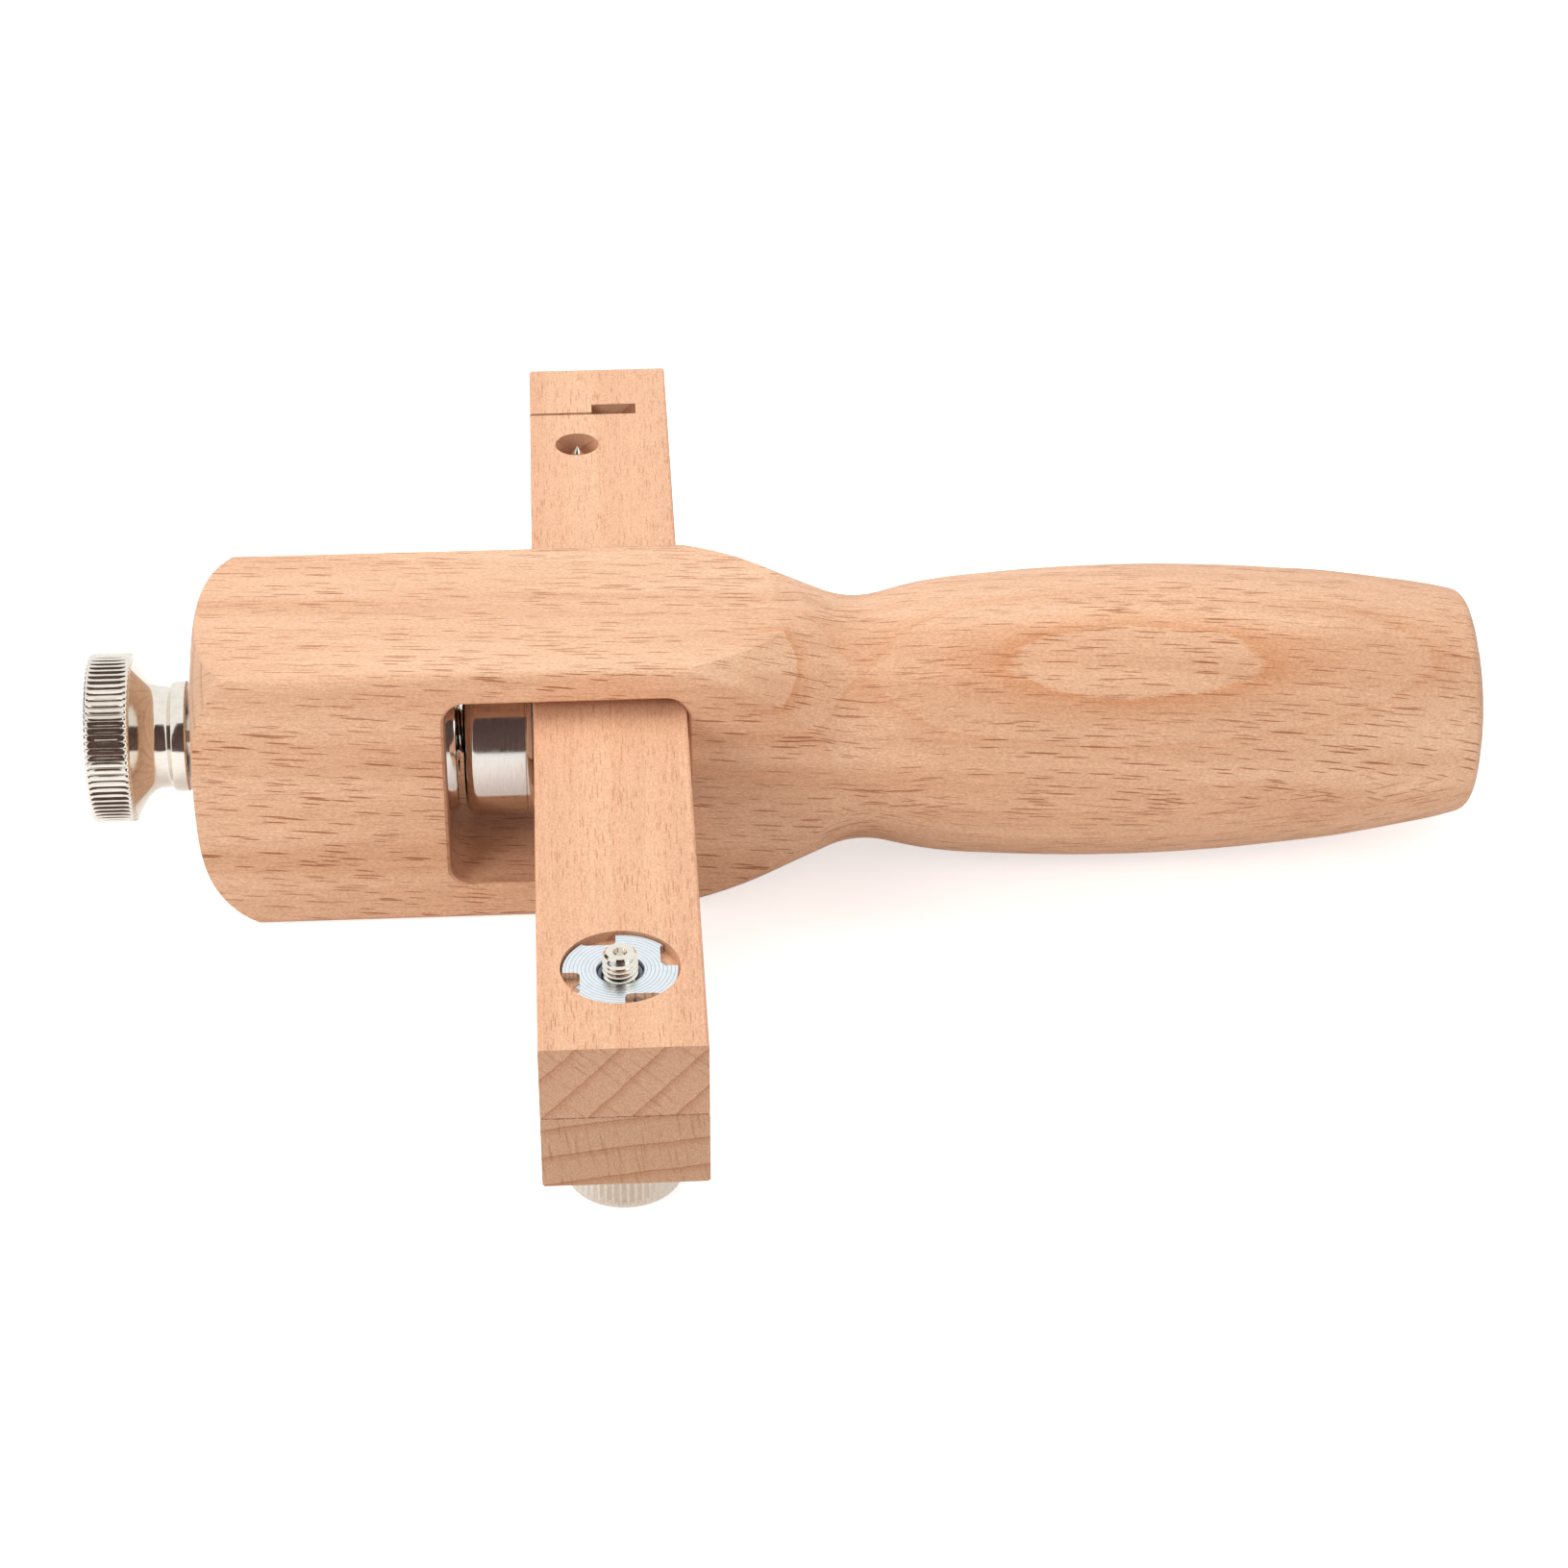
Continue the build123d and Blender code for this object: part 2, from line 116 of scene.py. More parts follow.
class Recipe:
    """The nodes of one material or of the world, with a short call for each kind that is used below."""

    def __init__(self, owner):
        owner.use_nodes = True
        self.owner, self.tree = owner, owner.node_tree
        self.tree.nodes.clear()

    def add(self, kind, **settings):
        node = self.tree.nodes.new("ShaderNode" + kind)
        for name, value in settings.items():
            setattr(node, name, value)
        return node

    def fill(self, socket, value):
        """Joins a socket to another node's output, or sets it to a plain number, direction or colour."""
        if isinstance(value, bpy.types.NodeSocket):
            self.tree.links.new(value, socket)
        else:
            socket.default_value = (*value, 1) if socket.type == "RGBA" else value

    def math(self, operation, *values):
        node = self.add("Math", operation=operation)
        for socket, value in zip(node.inputs, values):
            self.fill(socket, value)
        return node.outputs[0]

    def vector(self, operation, first, second, result="Vector"):
        node = self.add("VectorMath", operation=operation)
        self.fill(node.inputs[0], first)
        self.fill(node.inputs[1], second)
        return node.outputs[result]

    def remap(self, value, to_low=0.0, to_high=1.0, from_low=0.0, from_high=1.0, curve="LINEAR"):
        node = self.add("MapRange", interpolation_type=curve)
        for name, amount in (("Value", value), ("From Min", from_low), ("From Max", from_high),
                             ("To Min", to_low), ("To Max", to_high)):
            self.fill(node.inputs[name], amount)
        return node.outputs["Result"]

    def ramp(self, value, *stops):
        """Turns a number into a colour that changes from stop to stop."""
        node = self.add("ValToRGB")
        elements = node.color_ramp.elements
        while len(elements) < len(stops):
            elements.new(0.5)
        for element, (position, colour) in zip(elements, stops):
            element.position = position
            element.color = (*colour, 1)
        self.fill(node.inputs["Fac"], value)
        return node.outputs["Color"]

    def mix(self, blend, amount, first, second):
        node = self.add("Mix", data_type="RGBA", blend_type=blend)
        self.fill(node.inputs["Factor"], amount)
        colours = [socket for socket in node.inputs if socket.type == "RGBA"]
        for socket, value in zip(colours, (first, second)):
            self.fill(socket, value)
        return next(socket for socket in node.outputs if socket.type == "RGBA")

    def noise(self, vector, detail, roughness=0.5):
        node = self.add("TexNoise")
        for name, value in (("Vector", vector), ("Scale", 1.0), ("Detail", detail), ("Roughness", roughness)):
            self.fill(node.inputs[name], value)
        return node.outputs["Fac"]

    def close(self, shader):
        """Sends the shader to the output and gives the finished material or world."""
        kind = "OutputWorld" if isinstance(self.owner, bpy.types.World) else "OutputMaterial"
        self.fill(self.add(kind).inputs["Surface"], shader)
        return self.owner

    def finish(self, colour, roughness, height, bump_strength, bump_mm, fixed):
        """A principled surface with a slight unevenness; fixed holds what is the same all over it."""
        surface = self.add("BsdfPrincipled")
        for name, value in fixed.items():
            surface.inputs[name].default_value = value
        self.fill(surface.inputs["Base Color"], colour)
        self.fill(surface.inputs["Roughness"], roughness)
        bump = self.add("Bump")
        bump.inputs["Strength"].default_value = bump_strength
        bump.inputs["Distance"].default_value = bump_mm * mm
        self.fill(bump.inputs["Height"], height)
        self.fill(surface.inputs["Normal"], bump.outputs["Normal"])
        return self.close(surface.outputs[0])


print("node helpers ready")

# %% [markdown]
# ## White floor and room
# A small product is usually shown on a white sweep. The floor could be lit until it burns out, but then the
# wood would burn out with it. Instead the floor and the world add a little white of their own, only where the
# camera or a reflection looks at them. The floor still takes the tool's shadow, and the light on the tool
# stays moderate.

# %% Floor
floor_paint = Recipe(bpy.data.materials.new("white_floor"))
paint, glow, both = (floor_paint.add(kind) for kind in ("BsdfDiffuse", "Emission", "AddShader"))
floor_paint.fill(paint.inputs["Color"], grey(0.86))
floor_paint.fill(glow.inputs["Color"], grey(1))
glow_seen, glow_mirrored = 0.6, 0.15
ray = floor_paint.add("LightPath").outputs
seen = floor_paint.math("MULTIPLY", ray["Is Camera Ray"], glow_seen)
strength = floor_paint.math("MULTIPLY_ADD", ray["Is Glossy Ray"], glow_mirrored, seen)
floor_paint.fill(glow.inputs["Strength"], strength)
floor_paint.fill(both.inputs[0], paint.outputs[0])
floor_paint.fill(both.inputs[1], glow.outputs[0])
white_floor = floor_paint.close(both.outputs[0])

bm = bmesh.new()
bmesh.ops.create_grid(bm, x_segments=1, y_segments=1, size=6.0)
floor_mesh = bpy.data.meshes.new("floor"); bm.to_mesh(floor_mesh); bm.free()
floor_mesh.materials.append(white_floor)
floor = bpy.data.objects.new("floor", floor_mesh)
just_below = 0.2 * mm
floor.location.z = cad_low.z - just_below
scene.collection.objects.link(floor)
print("floor at z", round(floor.location.z / mm, 2), "mm")

# %% World
world = bpy.data.worlds.new("white_room"); scene.world = world
room = Recipe(world)
ray = room.add("LightPath").outputs
looked_at = room.math("MAXIMUM", ray["Is Camera Ray"], ray["Is Glossy Ray"])
looked_at = room.math("MAXIMUM", looked_at, ray["Is Transmission Ray"])
light_given, white_seen = 0.496, 1.0
sky = room.add("Background")
room.fill(sky.inputs["Color"], grey(1))
room.fill(sky.inputs["Strength"], room.remap(looked_at, light_given, white_seen))
room.close(sky.outputs[0])
print("the world gives light", light_given, "and is seen as", white_seen)

# %% [markdown]
# ## Lamps
# One large lamp overhead and behind gives the bright tops, one in front on the left lights the sides, and a
# weak one on the right fills the shadows. Area lamps are used because a large lamp makes a soft edge to a
# shadow. The two strong ones are kept out of reflections, where they would show as hard white squares on the
# nickel.

# %% Three soft lamps
centre = (cad_low + cad_high) / 2


def soft_lamp(name, offset, size, watts, mirrored):
    data = bpy.data.lights.new(name, "AREA")
    data.shape, data.size, data.energy = "SQUARE", size, watts
    lamp = bpy.data.objects.new(name, data)
    lamp.location = centre + Vector(offset)
    lamp.rotation_mode = "QUATERNION"
    lamp.rotation_quaternion = (centre - lamp.location).to_track_quat("-Z", "Y")
    lamp.visible_glossy = mirrored
    scene.collection.objects.link(lamp)


soft_lamp("overhead_lamp", (-0.15, 0.4, 0.85), 0.8, 5.6, mirrored=False)
soft_lamp("front_lamp", (-0.7, -0.6, 0.5), 0.5, 4.2, mirrored=False)
soft_lamp("fill_lamp", (0.75, -0.65, 0.35), 0.6, 1.6, mirrored=True)
print("lamps:", [light.name for light in bpy.data.lights])

# %% [markdown]
# ## Cards for the metal
# Bright metal shows its surroundings, so in an all-white room it looks like white plastic. Product makers set
# cards round it. One dark card stands behind the camera and one beyond the knob, and a white one stands
# behind the tool. Darker metal would be the other way, but it would be dark from every side. Only reflections
# see the cards.

# %% Dark and white cards
def card(name, cover, width, height, turned_about_z, offset):
    bm = bmesh.new()
    bmesh.ops.create_grid(bm, x_segments=1, y_segments=1, size=0.5)
    bmesh.ops.scale(bm, vec=(width, height, 1), verts=bm.verts)
    bmesh.ops.rotate(bm, matrix=Matrix.Rotation(math.radians(90), 3, "X"), verts=bm.verts)
    bmesh.ops.rotate(bm, matrix=Matrix.Rotation(math.radians(turned_about_z), 3, "Z"), verts=bm.verts)
    bmesh.ops.translate(bm, vec=centre + Vector(offset), verts=bm.verts)
    mesh = bpy.data.meshes.new(name); bm.to_mesh(mesh); bm.free()
    mesh.materials.append(cover)
    sheet = bpy.data.objects.new(name, mesh)
    sheet.visible_camera = sheet.visible_diffuse = sheet.visible_shadow = sheet.visible_transmission = False
    scene.collection.objects.link(sheet)


def plain_cover(name, kind, colour):
    cover = Recipe(bpy.data.materials.new(name))
    shader = cover.add(kind)
    cover.fill(shader.inputs["Color"], colour)
    return cover.close(shader.outputs[0])


dark_felt = plain_cover("dark_felt", "BsdfDiffuse", (0.13, 0.085, 0.078))
white_paper = plain_cover("white_paper", "Emission", grey(1))
card("camera_side_card", dark_felt, 1.5, 1.9, 0, (0, -1.1, 0.95))
card("knob_side_card", dark_felt, 1.2, 0.8, 90, (-1.2, 0.4, 0.3))
card("back_card", white_paper, 2.6, 1.9, 0, (0, 1.3, 0.9))

# %% [markdown]
# ## Camera
# The tool is seen from in front and above, with a long lens so that the lines stay calm. A tracking
# constraint could aim the camera, but it can't set the small roll. So the three angles are turned into the
# camera's own right, up and back directions, which are the columns of its rotation.

# %% Camera
camera_data = bpy.data.cameras.new("camera")
camera = bpy.data.objects.new("camera", camera_data)
scene.collection.objects.link(camera)
scene.camera = camera
camera_data.sensor_width, camera_data.lens = 36.0, 95.68
camera_data.clip_start, camera_data.clip_end = 0.01, 50.0
camera.location = (-0.004117, -0.540261, 0.379736)
turned, dipped, rolled = 0.0578, 0.5983, 0.0031
looking = Vector((math.sin(turned) * math.cos(dipped), math.cos(turned) * math.cos(dipped), -math.sin(dipped)))
level = Vector((math.cos(turned), -math.sin(turned), 0))
below = looking.cross(level)
right = level * math.cos(rolled) - below * math.sin(rolled)
down = level * math.sin(rolled) + below * math.cos(rolled)
camera.rotation_mode = "QUATERNION"
camera.rotation_quaternion = Matrix((right, -down, -looking)).transposed().to_quaternion()
print("camera at", tuple(round(value, 3) for value in camera.location), "m")

# %% [markdown]
# ## Beech, laid out along its grain
# Steamed beech is pinkish tan. A flat wood texture could be wrapped round each piece, but it would not match
# at the edges. A solid pattern in Object coordinates runs through the piece like real wood, so that end
# grain, flats and turned parts agree. Position is measured in mm along the grain, sideways, and outward
# through the rings, and only these directions differ from piece to piece.

# %% Wood coordinates
class Wood(Recipe):
    """A recipe that knows which way its grain and its growth rings run."""

    def __init__(self, name, grain, ring_normal, seed):
        super().__init__(bpy.data.materials.new(name))
        self.grain, self.ring_normal, self.seed = grain, ring_normal, seed
        self.across = grain.cross(ring_normal).normalized()
        coordinates = self.add("TexCoord").outputs
        self.place, self.normal = coordinates["Object"], coordinates["Normal"]
        self.along, self.sideways, self.outward = (
            self.vector("DOT_PRODUCT", self.place, direction * per_metre, "Value")
            for direction in (grain, self.across, ring_normal))
        self.wobble = self.noise(self.stretched(9, 3.2, 3.2, 5), 2.0)

    def stretched(self, length, width, depth, shift=0.0):
        """A position whose unit is length, width and depth mm; each shift shows another part of a pattern."""
        joined = self.add("CombineXYZ")
        sizes = zip(joined.inputs, (self.along, self.sideways, self.outward), (length, width, depth))
        for socket, value, size in sizes:
            self.fill(socket, self.math("ADD", self.math("DIVIDE", value, size), self.seed + shift))
        return joined.outputs[0]

    def faces(self, direction):
        """How squarely the surface faces a direction, from 0 to 1, whichever side it is on."""
        return self.math("ABSOLUTE", self.vector("DOT_PRODUCT", self.normal, direction, "Value"))


def unit(*values):
    return Vector(values).normalized()


print("wood coordinates ready")

# %% [markdown]
# ## Growth rings
# Each year's wood grows slowly darker and ends in a sharp line, and a turned surface cuts these curved sheets
# into ovals. The Wave texture makes rings too, but gives no number to each year. Here the depth is divided by
# the ring width: the whole part numbers the year, the rest says how far the year has got. Three noises bend,
# wave and fray the sheets.

# %% Growth rings
def growth_rings(wood, pitch, ends_at, strength, strong_years=()):
    """How far the year has got, and how dark the wood is there. One ring ends at ends_at mm out."""
    bend = wood.noise(wood.stretched(70, 26, 26), 1.0)
    fray = wood.noise(wood.stretched(2.6, 0.3, 5, 71), 2.0, 0.6)
    depth = wood.outward
    for noise, size in ((bend, 1.4), (wood.wobble, 0.5), (fray, 0.42)):
        depth = wood.math("MULTIPLY_ADD", noise, size, depth)
    mean_of_noises = 1.17
    turn = wood.math("DIVIDE", wood.math("SUBTRACT", depth, ends_at + mean_of_noises), pitch)
    phase, year = wood.math("FRACT", turn), wood.math("FLOOR", turn)
    late_wood = wood.ramp(phase, (0.0, grey(0)), (0.55, grey(0.08)), (0.84, grey(0.5)), (0.975, grey(1)),
                          (1.0, grey(0)))
    chance = wood.add("TexWhiteNoise", noise_dimensions="1D")
    wood.fill(chance.inputs["W"], year)
    darkness = wood.math("MULTIPLY_ADD", chance.outputs["Value"], strength, strength / 3)
    for number, begins, extra in strong_years:
        # a year that is darker than the rest, from a place along the grain onward
        chosen = wood.math("COMPARE", year, number, 0.5)
        onward = wood.remap(wood.along, from_low=begins, from_high=begins + 10, curve="SMOOTHSTEP")
        darkness = wood.math("MULTIPLY_ADD", wood.math("MULTIPLY", chosen, onward), extra, darkness)
    return phase, wood.math("MULTIPLY", late_wood, darkness)


def fibres(wood, darkened, light, deep):
    """The colour of the long grain: broad bands, darkened by the rings, under fine streaks."""
    band = wood.noise(wood.stretched(160, 7, 7, 9), 2.0, 0.6)
    colour = wood.ramp(band, (0.36, deep), (0.64, light))
    colour = wood.mix("MULTIPLY", darkened, colour, (0.88, 0.70, 0.56))
    streak = wood.noise(wood.stretched(14, 0.35, 0.5, 13), 3.0, 0.6)
    fine = wood.ramp(streak, (0.3, (0.90, 0.88, 0.86)), (0.7, grey(1.05)))
    return wood.mix("MULTIPLY", 0.8, colour, fine), streak


print("growth rings and fibres ready")

# %% [markdown]
# ## Rays
# Beech is known by its rays, thin ribbons that a flat face cuts into short dark dashes along the grain. They
# could be drawn as strokes, but a stroke would not turn the corner. Here each dash is the core of a stretched
# Voronoi cell. A cell that is thin one way would show as a wide patch on a face that cuts it flat, so there
# are two families, thin sideways and thin outward, and each fades out where the surface would show it flat.
# Three sizes keep them from looking ruled.

# %% Rays
def rays(wood, length, thickness):
    """Where the rays show, from 0 to 1."""
    breadth, core = 6.0, 0.7
    sway = wood.add("CombineXYZ")
    wood.fill(sway.inputs[1], wood.math("MULTIPLY", wood.wobble, 0.5))
    on_flats = wood.ramp(wood.faces(wood.ring_normal), (0.25, grey(0)), (0.5, grey(1)))
    on_sides = wood.ramp(wood.faces(wood.across), (0.75, grey(0)), (0.9, grey(1)))
    dashes = None
    for shift, thin_sideways, seen in ((21, True, on_flats), (57, False, on_sides)):
        for shorter, thinner, reach in ((1.0, 1.0, 0.22), (0.7, 0.8, 0.19), (0.85, 0.9, 0.21)):
            thin = thickness * thinner
            cross_section = (thin, breadth) if thin_sideways else (breadth, thin)
            still = wood.stretched(length * shorter, *cross_section, shift + 16 * (1 - shorter))
            cells = wood.add("TexVoronoi")
            cells.inputs["Scale"].default_value = 1.0
            wood.fill(cells.inputs["Vector"], wood.vector("ADD", still, sway.outputs[0]))
            dash = wood.ramp(cells.outputs["Distance"], (reach * core, grey(1)), (reach, grey(0)))
            dash = wood.math("MULTIPLY", dash, seen)
            dashes = dash if dashes is None else wood.math("MAXIMUM", dashes, dash)
    crowd = wood.noise(wood.stretched(30, 9, 9, 51), 1.0)
    return wood.math("MULTIPLY", dashes, wood.ramp(crowd, (0.35, grey(0.5)), (0.6, grey(1))))


print("rays ready")

# %% [markdown]
# ## End grain and the glued seam
# Sawn across, the same wood looks browner and coarser, with the rings as lines and the rays as fine lines
# across them. A second material on the end faces would do, but it could not follow the rings. So the same
# pattern changes its colours where the surface faces along the grain. The two layers of the bar meet in a
# hair-thin, slightly torn line.

# %% End grain and seam
def end_grain(wood, phase, tone):
    speckle = wood.noise(wood.stretched(0.6, 0.2, 0.2, 61), 2.0, 0.7)
    lines = wood.noise(wood.stretched(30, 0.4, 6, 83), 1.0)
    lines = wood.ramp(lines, (0.57, grey(0)), (0.72, grey(0.6)))
    rings = wood.ramp(phase, (0.0, grey(0.4)), (0.03, grey(0)), (0.7, grey(0.08)), (0.94, grey(0.6)),
                      (0.97, grey(1)), (1.0, grey(0.9)))
    colour = wood.mix("MULTIPLY", rings, tone, (0.76, 0.60, 0.50))
    colour = wood.mix("MULTIPLY", lines, colour, (0.70, 0.57, 0.49))
    grit = wood.ramp(speckle, (0.3, (0.70, 0.66, 0.63)), (0.7, grey(1.18)))
    return wood.mix("MULTIPLY", 0.85, colour, grit), speckle


def with_seam(wood, colour, height_mm):
    axes = wood.add("SeparateXYZ")
    wood.fill(axes.inputs[0], wood.place)
    off = wood.math("ABSOLUTE", wood.math("MULTIPLY_ADD", axes.outputs["Z"], per_metre, -height_mm))
    near = wood.ramp(off, (0.05, grey(1)), (0.16, grey(0)))
    torn = wood.noise(wood.stretched(2, 0.7, 0.7, 91), 2.0, 0.6)
    torn = wood.ramp(torn, (0.42, grey(0.15)), (0.55, grey(1)))
    return wood.mix("MULTIPLY", wood.math("MULTIPLY", near, torn), colour, (0.40, 0.28, 0.22))


print("end grain and seam ready")

# %% [markdown]
# ## Three pieces of beech
# The stock's rings are turned so that an oval lies on the front of the handle. The two layers of the bar come
# from different planks, so their rings cross the end at different slopes. The finish is sanded and lightly
# oiled: a soft sheen, rough along the streaks, with the rays a hair lower than the wood around them.

# %% Beech for the stock and the bars
def beech(name, grain, ring_normal, seed, light, deep, end_tone, rings, ray_size, ray_tone, seam=None):
    """rings: width, end of one ring, strength and strong years. ray_size: length and thickness in mm."""
    wood = Wood(name, grain, ring_normal, seed)
    phase, darkened = growth_rings(wood, *rings)
    long_grain, streak = fibres(wood, darkened, light, deep)
    dashes = rays(wood, *ray_size)
    long_grain = wood.mix("MULTIPLY", dashes, long_grain, ray_tone)
    # fine speckle: its light flecks are painted highlights, the glints of sanded fibres, and its dark ones random tone
    glint_speckle = wood.noise(wood.stretched(0.6, 0.26, 0.26, 45), 2.0, 0.75)
    glint_speckle = wood.ramp(glint_speckle, (0.3, (0.75, 0.72, 0.69)), (0.7, (1.18, 1.20, 1.22)))
    long_grain = wood.mix("MULTIPLY", 0.75, long_grain, glint_speckle)
    cut_end, speckle = end_grain(wood, phase, end_tone)
    at_end = wood.ramp(wood.faces(grain), (0.45, grey(0)), (0.95, grey(1)))
    colour = wood.mix("MIX", at_end, long_grain, cut_end)
    if seam is not None:
        colour = with_seam(wood, colour, seam)
    height = wood.math("MULTIPLY_ADD", dashes, -1.0, streak)
    height = wood.math("MULTIPLY_ADD", speckle, 0.35, height)
    return wood.finish(colour, wood.remap(streak, 0.5, 0.66), height, 0.35, 0.06, {"Specular IOR Level": 0.32})


handle_rings = unit(0, -0.605, 0.797)
axis_depth = handle_rings.dot(Vector((0, clamp_line.y, clamp_line.z))) / mm
stock_beech = beech(
    "stock_beech", unit(1, 0, -0.1), handle_rings, seed=3.0,
    light=(0.87, 0.542, 0.35), deep=(0.755, 0.428, 0.258), end_tone=(0.72, 0.46, 0.31),
    rings=(3.0, axis_depth + 22.0, 0.18, [(-1, 12, 0.85), (-2, 12, 0.35)]),
    ray_size=(14.0, 0.52), ray_tone=(0.52, 0.33, 0.24))

bar_grain = Vector((0, 1, 0))
bar_look = {
    "light": (0.85, 0.505, 0.315), "deep": (0.79, 0.445, 0.275), "ray_size": (7.5, 0.36),
    "ray_tone": (0.79, 0.65, 0.56), "seam": box_of("lower_bar")[1].z / mm,
}
upper_beech = beech("upper_beech", bar_grain, unit(-0.717, 0, 0.697), seed=7.0, end_tone=(0.62, 0.355, 0.225),
                    rings=(4.45, 21.75, 0.2), **bar_look)
lower_beech = beech("lower_beech", bar_grain, unit(-0.13, 0, 1), seed=17.0, end_tone=(0.58, 0.34, 0.21),
                    rings=(4.7, 20.1, 0.2), **bar_look)
print("wood materials:", [m.name for m in bpy.data.materials if "beech" in m.name])

# %% [markdown]
# ## Metals
# The knobs are steel with bright nickel, which is a little warm and mirrors the room. The tee nut is zinc
# plated: bluish, duller, with the rings of the punch that formed its plate, painted shade in each ring's
# groove and a painted shadow round its bore. A plain grey metal would look like plastic, so each metal gets
# fine scratches in its roughness and a very small unevenness in its surface.

# %% Plated metals
def with_rings_and_painted_shade(plating, place, axis, tint, height, pitch=0.55):
    """Fine rings round a vertical axis, in the colour and in the height. The colour's dark lines are painted shade in
    the grooves, and a painted shadow darkens it round the bore.
    """
    flat = plating.vector("MULTIPLY", place, (1, 1, 0))
    radius = plating.vector("DISTANCE", flat, (axis.x, axis.y, 0), "Value")
    wave = plating.math("SINE", plating.math("MULTIPLY", radius, 2 * math.pi / (pitch * mm)))
    height = plating.math("MULTIPLY_ADD", wave, 0.5, height)
    # painted shade: the colour darkens in each groove of the rings, where the height is lowest
    lightness = plating.math("MULTIPLY_ADD", wave, 0.5, 0.5)
    shade = plating.ramp(lightness, (0.0, (0.50, 0.55, 0.60)), (0.22, grey(1)))
    tint = plating.mix("MULTIPLY", 0.8, tint, shade)
    # painted shadow: the colour goes dark round the bore, over the hollow where the screw comes up through the nut
    radius_in_cm = plating.math("MULTIPLY", radius, 100)
    painted_bore_shadow = plating.ramp(radius_in_cm, (0.305, (0.20, 0.21, 0.23)), (0.345, grey(1)))
    return plating.mix("MULTIPLY", 1.0, tint, painted_bore_shadow), height


def metal(name, colour, smooth, rough, scratch_size, unevenness, rings_about=None):
    """smooth and rough: the least and the greatest roughness. scratch_size and unevenness are in mm."""
    plating = Recipe(bpy.data.materials.new(name))
    place = plating.add("TexCoord").outputs["Object"]
    stretch = plating.add("Mapping")
    plating.fill(stretch.inputs["Vector"], place)
    plating.fill(stretch.inputs["Scale"], tuple(1 / (size * mm) for size in scratch_size))
    scratches = plating.noise(stretch.outputs[0], 4.0, 0.65)
    tint = plating.ramp(scratches, (0.3, tuple(0.9 * part for part in colour)), (0.6, colour))
    height = scratches
    if rings_about is not None:
        tint, height = with_rings_and_painted_shade(plating, place, rings_about, tint, height)
    gloss = plating.remap(scratches, smooth, rough, 0.35, 0.7)
    return plating.finish(tint, gloss, height, 0.3, unevenness, {"Metallic": 1.0})


nickel = metal("bright_nickel", (0.87, 0.82, 0.735), 0.06, 0.16, (1.6, 1.6, 0.5), 0.008)
nickel_along = metal("drawn_nickel", (0.76, 0.72, 0.675), 0.07, 0.18, (0.35, 2.0, 2.0), 0.008)
zinc = metal("zinc_plate", (0.87, 0.93, 0.97), 0.22, 0.32, (1.2, 1.2, 1.2), 0.012, rings_about=nut_line)
blade_steel = metal("ground_blade_steel", (0.56, 0.57, 0.58), 0.16, 0.34, (0.12, 3.0, 3.0), 0.01)
print("metals:", nickel.name, nickel_along.name, zinc.name, blade_steel.name)

# %% [markdown]
# ## Finishing a piece
# Every piece ends the same way: its doubles are merged, its faces are turned outwards, and it is shaded
# smooth except where two faces meet at a real edge. Auto smooth could pick the edges by angle alone, but a
# planed flat must also end sharply where it runs out gently into a turned surface. The piece then rides on
# the body that carries it and stands for its solid in the frame.

# %% A helper that finishes a piece
square_enough = 0.9999995


def planed(face):
    """True for a face that lies exactly square to X, Y or Z."""
    return max(abs(value) for value in face.normal) > square_enough


def finish_piece(name, bm, material, body, replaces, sharp_degrees=32):
    bmesh.ops.remove_doubles(bm, verts=bm.verts, dist=0.002 * mm)
    bmesh.ops.recalc_face_normals(bm, faces=bm.faces)
    bm.normal_update()
    limit = math.radians(sharp_degrees)
    for face in bm.faces:
        face.smooth = True
    for edge in bm.edges:
        if len(edge.link_faces) == 2:
            first, second = edge.link_faces
            edge.smooth = planed(first) == planed(second) and first.normal.angle(second.normal, 0) <= limit
    mesh = bpy.data.meshes.new(name)
    bm.to_mesh(mesh); bm.free()
    mesh.materials.append(material)
    piece = bpy.data.objects.new(name, mesh)
    scene.collection.objects.link(piece)
    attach(piece, body)
    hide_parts(replaces)
    triangles = sum(len(face.vertices) - 2 for face in mesh.polygons)
    print(f"{name}: {len(mesh.vertices)} points, {triangles} triangles, on {body}")


print("finishing helper ready")

# %% [markdown]
# ## The planed wood
# The stock and the two bars are planed, sawn and drilled, and their solids already have every flat, round and
# hole. A solid's mesh is loose triangles, so it would shade as facets. A merged copy shares its points, and
# can be shaded smooth with sharp edges only where the wood has them. Building these again from a block would
# give the same shape with more chances of error.

# %% Stock and bars from their solids
def copy_of(node_name):
    bm = bmesh.new()
    bm.from_mesh(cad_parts[node_name].data)
    bmesh.ops.remove_doubles(bm, verts=bm.verts, dist=0.001 * mm)
    bmesh.ops.dissolve_degenerate(bm, edges=bm.edges, dist=0.001 * mm)
    return bm


finish_piece("handle_and_head", copy_of("stock"), stock_beech, "stock", "stock")
finish_piece("upper_bar_beech", copy_of("upper_bar"), upper_beech, "crossbar", "upper_bar")
finish_piece("lower_bar_beech", copy_of("lower_bar"), lower_beech, "lower_bar", "lower_bar")

# %% [markdown]
# ## Turned metal
# A knob comes off a lathe, so its mesh is one outline swept round an axis with the spin operator. A cylinder
# could be inset and scaled ring by ring, but an outline is easier to read and to change. It is a list of
# pairs: the length along the axis and the radius, in mm.

# %% Outline and spin
def spun(outline, axis, columns):
    """Sweeps an outline of (length, radius) pairs once round a lathe axis."""
    start, direction, outward = axis
    bm = bmesh.new()
    points = [bm.verts.new(start + direction * length * mm + outward * radius * mm) for length, radius in outline]
    edges = [bm.edges.new(pair) for pair in zip(points, points[1:])]
    bmesh.ops.spin(bm, geom=points + edges, cent=start, axis=direction, angle=2 * math.pi,
                   steps=columns, use_merge=True)
    bmesh.ops.remove_doubles(bm, verts=bm.verts, dist=0.001 * mm)
    return bm


